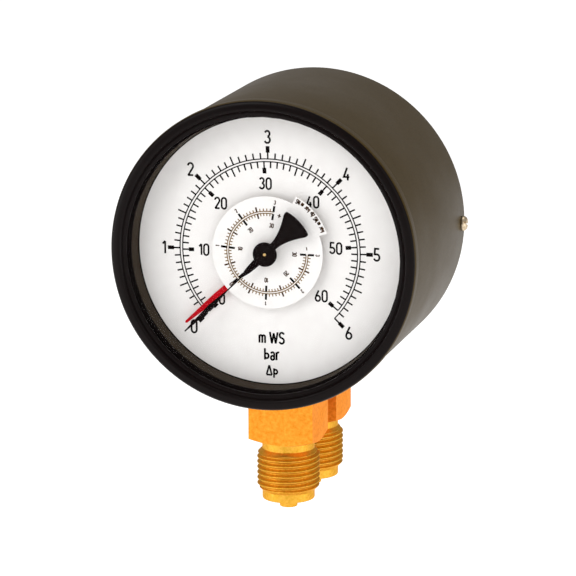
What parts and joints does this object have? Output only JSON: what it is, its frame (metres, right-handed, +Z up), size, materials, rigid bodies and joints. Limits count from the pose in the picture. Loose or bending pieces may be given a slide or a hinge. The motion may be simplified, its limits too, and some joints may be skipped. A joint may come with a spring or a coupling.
{
  "type": "duplex differential pressure gauge",
  "caption": "Round duplex pressure gauge with a rotating differential disc inside the main dial, deep case and threaded lower connections one behind the other.",
  "frame": {"origin": "centre of the front connection's sealing face, on that connection's axis", "axes": "+Z up along the connections, -Y the way the dial faces, +X to the right of a reader"},
  "size_m": [0.1044, 0.074, 0.1423],
  "materials": {
    "case_paint": "fine-textured matt dark olive-brown paint",
    "bezel_paint": "satin black paint",
    "window_glass": "clear flat instrument glass",
    "rubber": "matt",
    "dial_white": "matt white with black print",
    "mark_red": "matt red",
    "pointer_black": "matt black",
    "socket_brass": "blasted and turned brass",
    "movement_brass": "stamped brass",
    "spring_bronze": "bright strip",
    "steel": "bright plated"
  },
  "bodies": {
    "gauge_case": {"bezel_ring": "bezel_paint", "case_shell": "case_paint", "cover_screw_left": "steel", "cover_screw_right": "steel", "dial_plate": "dial_white", "dial_seat_ring": "steel", "front_back_plate": "movement_brass", "front_bourdon_tube": "movement_brass", "front_case_screw_1": "steel", "front_case_screw_2": "steel", "front_front_plate": "movement_brass", "front_hairspring": "spring_bronze", "front_pillar_1": "movement_brass", "front_pillar_2": "movement_brass", "front_pillar_3": "movement_brass", "front_plate_screw_1": "steel", "front_plate_screw_2": "steel", "front_socket": "socket_brass", "front_spring_stud": "movement_brass", "rear_back_plate": "movement_brass", "rear_bourdon_tube": "movement_brass", "rear_case_screw_1": "steel", "rear_case_screw_2": "steel", "rear_cover": "case_paint", "rear_front_plate": "movement_brass", "rear_hairspring": "spring_bronze", "rear_pillar_1": "movement_brass", "rear_pillar_2": "movement_brass", "rear_pillar_3": "movement_brass", "rear_plate_screw_1": "steel", "rear_plate_screw_2": "steel", "rear_socket": "socket_brass", "rear_spring_stud": "movement_brass", "spacer_ring": "bezel_paint", "window_gasket": "rubber", "window_glass": "window_glass"},
    "front_tube_tip": {"front_tube_end": "movement_brass", "front_tip_pin": "steel"},
    "front_link_bar": {"front_link": "movement_brass", "front_span_screw": "steel"},
    "front_sector": {"front_sector_gear": "movement_brass", "front_sector_staff": "steel"},
    "rear_tube_tip": {"rear_tube_end": "movement_brass", "rear_tip_pin": "steel"},
    "rear_link_bar": {"rear_link": "movement_brass", "rear_span_screw": "steel"},
    "rear_sector": {"rear_sector_gear": "movement_brass", "rear_sector_staff": "steel"},
    "differential_disc": {"scale_disc": "dial_white", "red_mark": "mark_red", "disc_hub": "movement_brass", "disc_arbor": "steel", "front_pinion": "movement_brass", "front_spring_collet": "movement_brass"},
    "pointer_assembly": {"pointer": "pointer_black", "pointer_bush": "movement_brass", "pointer_arbor": "movement_brass", "rear_pinion": "movement_brass", "rear_spring_collet": "movement_brass"}
  },
  "joints": [
    {"name": "front_sector_turn", "type": "hinge", "parent": "gauge_case", "child": "front_sector", "pos_m": [0.01258, -0.011, 0.07443], "axis": [0, -1, 0], "range_deg": [0, 32.14]},
    {"name": "disc_turn", "type": "hinge", "parent": "gauge_case", "child": "differential_disc", "pos_m": [0, -0.022, 0.0884], "axis": [0, 1, 0], "range_deg": [0, 270], "deforming": ["front_hairspring"]},
    {"name": "front_tube_flex", "type": "hinge", "parent": "gauge_case", "child": "front_tube_tip", "pos_m": [-0.03371, 0, 0.10105], "axis": [0, -1, 0], "range_deg": [0, 4.45], "deforming": ["front_bourdon_tube"]},
    {"name": "front_link_swing", "type": "hinge", "parent": "front_tube_tip", "child": "front_link_bar", "pos_m": [0.02401, -0.0124, 0.08185], "axis": [0, -1, 0], "range_deg": [-2.77, 0]},
    {"name": "rear_sector_turn", "type": "hinge", "parent": "gauge_case", "child": "rear_sector", "pos_m": [0.01258, 0.02, 0.07443], "axis": [0, -1, 0], "range_deg": [0, 32.14]},
    {"name": "pointer_turn", "type": "hinge", "parent": "gauge_case", "child": "pointer_assembly", "pos_m": [0, -0.022, 0.0884], "axis": [0, 1, 0], "range_deg": [0, 270], "deforming": ["rear_hairspring"]},
    {"name": "rear_tube_flex", "type": "hinge", "parent": "gauge_case", "child": "rear_tube_tip", "pos_m": [-0.03371, 0.031, 0.10105], "axis": [0, -1, 0], "range_deg": [0, 4.45], "deforming": ["rear_bourdon_tube"]},
    {"name": "rear_link_swing", "type": "hinge", "parent": "rear_tube_tip", "child": "rear_link_bar", "pos_m": [0.02401, 0.0186, 0.08185], "axis": [0, -1, 0], "range_deg": [-2.77, 0]}
  ],
  "couplings": [
    {"joint": "disc_turn", "follows": "front_sector_turn", "ratio": 8.4},
    {"joint": "front_tube_flex", "follows": "front_sector_turn", "ratio": 0.1385},
    {"joint": "front_link_swing", "follows": "front_sector_turn", "ratio": -0.086},
    {"joint": "pointer_turn", "follows": "rear_sector_turn", "ratio": 8.4},
    {"joint": "rear_tube_flex", "follows": "rear_sector_turn", "ratio": 0.1385},
    {"joint": "rear_link_swing", "follows": "rear_sector_turn", "ratio": -0.086}
  ]
}
